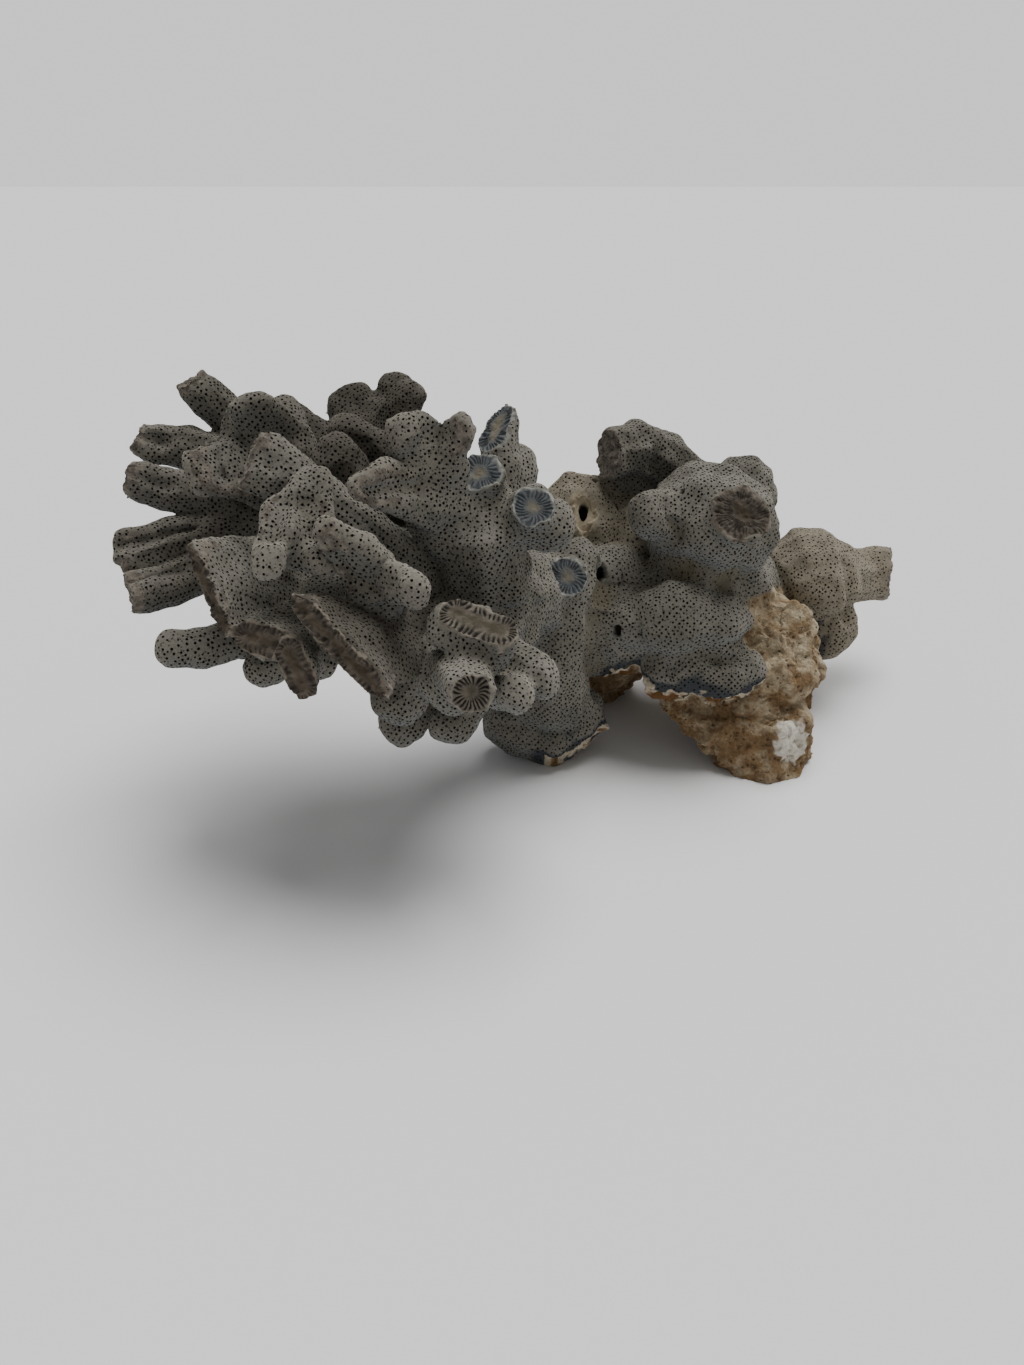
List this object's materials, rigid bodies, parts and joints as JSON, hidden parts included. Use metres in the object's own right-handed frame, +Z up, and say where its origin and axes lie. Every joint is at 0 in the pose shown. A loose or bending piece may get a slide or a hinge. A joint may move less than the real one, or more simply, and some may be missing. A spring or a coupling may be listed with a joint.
{
  "type": "blue coral skeleton",
  "caption": "Branching piece of dead coral lying on its side: a thick porous trunk on a crusted base, with knobbly fingers and thin broken blades fanning out to one side.",
  "frame": {"origin": "middle of the bounding box's underside, on the surface it rests on", "axes": "+X along the longest extent, from the fan of fingers to the short broken end; -Y towards the viewer; +Z up"},
  "size_m": [0.187, 0.1194, 0.0908],
  "materials": {
    "coral_skeleton": "dry porous skeleton, matt grey, with small round pores and blue-grey or brown broken ends",
    "reef_crust": "rough pitted dead base, cream and tan with brown stains"
  },
  "bodies": {
    "root": {"trunk": "coral_skeleton", "middle_column": "coral_skeleton", "left_hump": "coral_skeleton", "upper_lobe": "coral_skeleton", "top_finger": "coral_skeleton", "rear_lobe": "coral_skeleton", "right_end_branch": "coral_skeleton", "centre_stem": "coral_skeleton", "shark_fin_blade": "coral_skeleton", "lower_centre_branch": "coral_skeleton", "lower_lobes": "coral_skeleton", "left_main_branch": "coral_skeleton", "upper_diagonal_branch": "coral_skeleton", "bird_blade": "coral_skeleton", "diagonal_blade": "coral_skeleton", "lower_left_branch": "coral_skeleton", "left_fan_branch": "coral_skeleton", "hand_blade": "coral_skeleton", "rear_branch": "coral_skeleton", "base_leg": "reef_crust", "base_heel": "reef_crust"}
  },
  "joints": []
}
